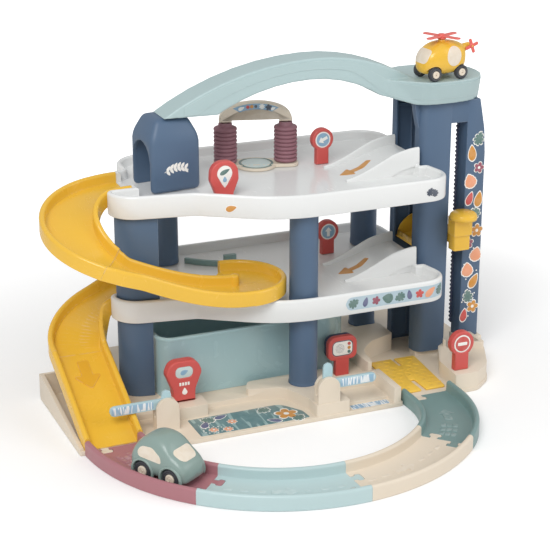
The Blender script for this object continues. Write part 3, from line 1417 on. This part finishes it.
def lofted(name, sections, ring=16):
    """A body through rounded cross-sections (x, half width, low, high, squareness)."""
    mesh = bpy.data.meshes.new(name)
    shape = bmesh.new()
    rings = []
    for x, half, low, high, square in sections:
        middle, tall = (low + high) / 2, (high - low) / 2
        points = []
        for i in range(ring):
            t = 2 * math.pi * (i + 0.5) / ring
            c, s = math.cos(t), math.sin(t)
            y = half * math.copysign(abs(c) ** square, c)
            z = middle + tall * math.copysign(abs(s) ** square, s)
            points.append(shape.verts.new((x, y, z)))
        rings.append(points)
    for first, second in zip(rings, rings[1:]):
        for i in range(ring):
            j = (i + 1) % ring
            shape.faces.new((first[i], first[j], second[j], second[i]))
    shape.faces.new(rings[0][::-1])
    shape.faces.new(rings[-1])
    bmesh.ops.recalc_face_normals(shape, faces=shape.faces)
    shape.to_mesh(mesh)
    shape.free()
    made = bpy.data.objects.new(name, mesh)
    PARTS.objects.link(made)
    return made


def car():
    """The small car on the ring road: body, chassis and two wheel sets."""
    turn = math.radians(CAR_ANGLE)
    _, centre = road_start()
    origin = Vector((centre[0] + ROAD_FIRST_RADIUS * math.cos(turn),
                     centre[1] + ROAD_FIRST_RADIUS * math.sin(turn), 0))
    heading = turn + math.pi / 2
    road_z = LANE_TOP + GAP
    matrix = Matrix.Translation(origin) @ Matrix.Rotation(heading, 4, "Z")
    long, wide, tall = CAR_SIZE
    low = road_z + 0.0075
    sections = [(-0.50, 0.30, 0.10, 0.42, 0.8), (-0.47, 0.42, 0.02, 0.58, 0.7), (-0.38, 0.49, 0.0, 0.78, 0.6),
                (-0.22, 0.50, 0.0, 0.96, 0.65), (-0.04, 0.50, 0.0, 1.0, 0.65), (0.12, 0.50, 0.0, 0.92, 0.65),
                (0.26, 0.50, 0.0, 0.68, 0.6), (0.38, 0.48, 0.0, 0.56, 0.6), (0.46, 0.42, 0.02, 0.46, 0.7),
                (0.50, 0.28, 0.10, 0.34, 0.8)]
    body = lofted("car_body", [(x * long, h * wide, low + a * tall, low + b * tall, q)
                               for x, h, a, b, q in sections])
    axle_z = road_z + TYRE_RADIUS
    arch_half = CAR_TRACK / 2 - TYRE_WIDE / 2 - 0.0020
    for along in (-CAR_BASE / 2, CAR_BASE / 2):
        for side in (-1, 1):
            first, last = sorted((side * arch_half, side * wide))
            cut(body, rod("arch", (along, first, axle_z), (along, last, axle_z), TYRE_RADIUS + 0.0016, steps=14))
        cut(body, rod("axle_hole", (along, -wide / 2, axle_z), (along, wide / 2, axle_z),
                      AXLE_RADIUS + RUN, steps=8))
    belly_half = arch_half - 0.0025
    cut(body, box("belly", (-long * 0.38, -belly_half, road_z), (long * 0.38, belly_half, axle_z + 0.0050)))
    moved(body, matrix)
    finish(body, "sage")
    base_low = road_z + 0.0045
    chassis = box("car_chassis", (-long * 0.38 + GAP, -belly_half + GAP, base_low),
                  (long * 0.38 - GAP, belly_half - GAP, axle_z + 0.0050 - GAP))
    for along in (-CAR_BASE / 2, CAR_BASE / 2):
        cut(chassis, rod("axle_hole", (along, -wide / 2, axle_z), (along, wide / 2, axle_z),
                         AXLE_RADIUS + RUN, steps=8))
    moved(chassis, matrix)
    finish(chassis, "tyre")
    for along, name in ((CAR_BASE / 2, "car_front"), (-CAR_BASE / 2, "car_rear")):
        wheel_set(name, (origin.x, origin.y, axle_z), heading, along, CAR_TRACK, TYRE_RADIUS, TYRE_WIDE)
    return body, chassis


def helicopter():
    """The helicopter on its pad: body with tail, two rotors and two wheel sets."""
    ground = PAD_TOP + GAP
    axle_z = ground + HELI_TYRE
    origin = Vector((HELI_AT[0], HELI_AT[1], 0))
    matrix = Matrix.Translation(origin) @ Matrix.Rotation(HELI_TURN, 4, "Z")
    low = ground + 0.0075
    sections = [(-0.0350, 0.0110, 0.016, 0.034, 0.9), (-0.0310, 0.0180, 0.006, 0.042, 0.8),
                (-0.0200, 0.0240, 0.000, 0.047, 0.7), (-0.0040, 0.0255, -0.001, 0.0485, 0.7),
                (0.0120, 0.0250, -0.001, 0.0465, 0.7), (0.0260, 0.0220, 0.000, 0.040, 0.75),
                (0.0340, 0.0165, 0.003, 0.031, 0.8), (0.0380, 0.0090, 0.008, 0.023, 0.9)]
    body = lofted("heli_body", [(x, h, low + a, low + b, q) for x, h, a, b, q in sections])
    tail_x, tail_z = -0.0480, low + 0.0370
    boom = rod("boom", (-0.026, 0, low + 0.030), (tail_x - 0.002, 0, low + 0.0370), 0.0085, 0.0048, steps=14)
    join(body, boom)
    mast_z = low + 0.0500
    join(body, rod("mast", (0, 0, low + 0.038), (0, 0, mast_z + 0.0050), 0.0020, steps=10))
    join(body, rod("mast_foot", (0, 0, low + 0.038), (0, 0, mast_z), 0.0060, 0.0048, steps=14))
    join(body, rod("tail_pin", (tail_x, 0, tail_z), (tail_x, 0.0115, tail_z), 0.0012, steps=8))
    arch_half = HELI_TRACK / 2 - HELI_TYRE_WIDE / 2 - 0.0015
    for along in (-HELI_BASE / 2, HELI_BASE / 2):
        for side in (-1, 1):
            first, last = sorted((side * arch_half, side * 0.04))
            cut(body, rod("arch", (along, first, axle_z), (along, last, axle_z), HELI_TYRE + 0.0014, steps=14))
        cut(body, rod("axle_hole", (along, -0.03, axle_z), (along, 0.03, axle_z), AXLE_RADIUS + RUN, steps=8))
    moved(body, matrix)
    finish(body, "yellow")

    hub_low = mast_z + RUN
    rotor = rod("heli_rotor", (0, 0, hub_low), (0, 0, hub_low + 0.0075), 0.0070, 0.0055, steps=14)
    blade = rounded(box_outline(-0.0335, -0.0045, 0.0335, 0.0045, 0.004), 2)
    for turn in (20, 110):
        wing = plate("blade", [blade], hub_low + 0.0030, hub_low + 0.0052)
        wing.data.transform(Matrix.Rotation(math.radians(turn), 4, "Z"))
        join(rotor, wing)
    cut(rotor, rod("bore", (0, 0, hub_low - 0.01), (0, 0, mast_z + 0.0050 + RUN), 0.0020 + RUN / 2, steps=10))
    moved(rotor, matrix)
    finish(rotor, "coral")
    hang(rotor, hinge("heli_rotor_axis", (origin.x, origin.y, hub_low)))

    tail_y = 0.0070
    tail = rod("heli_tail_rotor", (tail_x, tail_y, tail_z), (tail_x, tail_y + 0.0036, tail_z), 0.0036, steps=12)
    blade = rounded(box_outline(-0.0115, -0.0025, 0.0115, 0.0025, 0.0022), 2)
    for turn in (0, 90):
        wing = side_plate("tail_blade", [blade], tail_y + 0.0008, tail_y + 0.0028)
        spin = Matrix.Rotation(math.radians(turn + 20), 4, "Y")
        wing.data.transform(Matrix.Translation((tail_x, 0, tail_z)) @ spin)
        join(tail, wing)
    cut(tail, rod("tail_bore", (tail_x, -0.01, tail_z), (tail_x, 0.02, tail_z), 0.0012 + RUN / 2, steps=8))
    moved(tail, matrix)
    finish(tail, "coral")
    spot = matrix @ Vector((tail_x, tail_y, tail_z))
    hang(tail, hinge("heli_tail_axis", spot))
    for along, name in ((HELI_BASE / 2, "heli_front"), (-HELI_BASE / 2, "heli_rear")):
        wheel_set(name, (origin.x, origin.y, axle_z), HELI_TURN, along, HELI_TRACK, HELI_TYRE, HELI_TYRE_WIDE)
    return body


def lift():
    """The parts that ride the lift, on one empty."""
    axis = hinge("lift_axis", ((SLOT_LEFT + SLOT_RIGHT) / 2, HANDLE_Y, CARRIAGE_Z))
    for piece in (lift_carriage(), lift_handle()):
        hang(piece, axis)


def build():
    base()
    road()
    lift_plate()
    ground_tray()
    columns()
    deck("lower_deck", 0)
    deck("upper_deck", 1)
    curved_wall("curved_wall_lower", PLATFORM_TOP + GAP, floor_z(0) - SHEET - GAP, TRAY_LEFT - 0.004)
    curved_wall("curved_wall_upper", floor_z(0) + GAP, floor_z(1) - SHEET - GAP, -0.1545)
    spiral()
    ramp()
    lift_front()
    lift_rack()
    lift_back()
    lift()
    arch_handle()
    tunnel_tower()
    car_wash()
    rail()
    round_sign("sign_lift", 0.2775, -0.0580, BLOCK_TOP + GAP, 0.0195, 0.0615, 0.0230)
    round_sign("sign_lower_deck", 0.1680, 0.1860, floor_z(0) + GAP, 0.0180, 0.0550, 0.0210)
    round_sign("sign_upper_deck", 0.1450, 0.1600, floor_z(1) + GAP, 0.0175, 0.0560, 0.0200)
    pin_sign("sign_pin", -0.0560, 0.0560, floor_z(1) + GAP)
    pump_sign("sign_pump", -0.1400, 0.0110, ISLAND_TOP + GAP)
    scanner(0.1190, 0.0290, PLATFORM_TOP + GAP)
    gate_arm("gate_arm_left", GATE_LEFT)
    gate_arm("gate_arm_right", GATE_RIGHT)
    car()
    helicopter()
    for collection in (PARTS, CUTTERS):
        bpy.context.scene.collection.children.link(collection)


build()
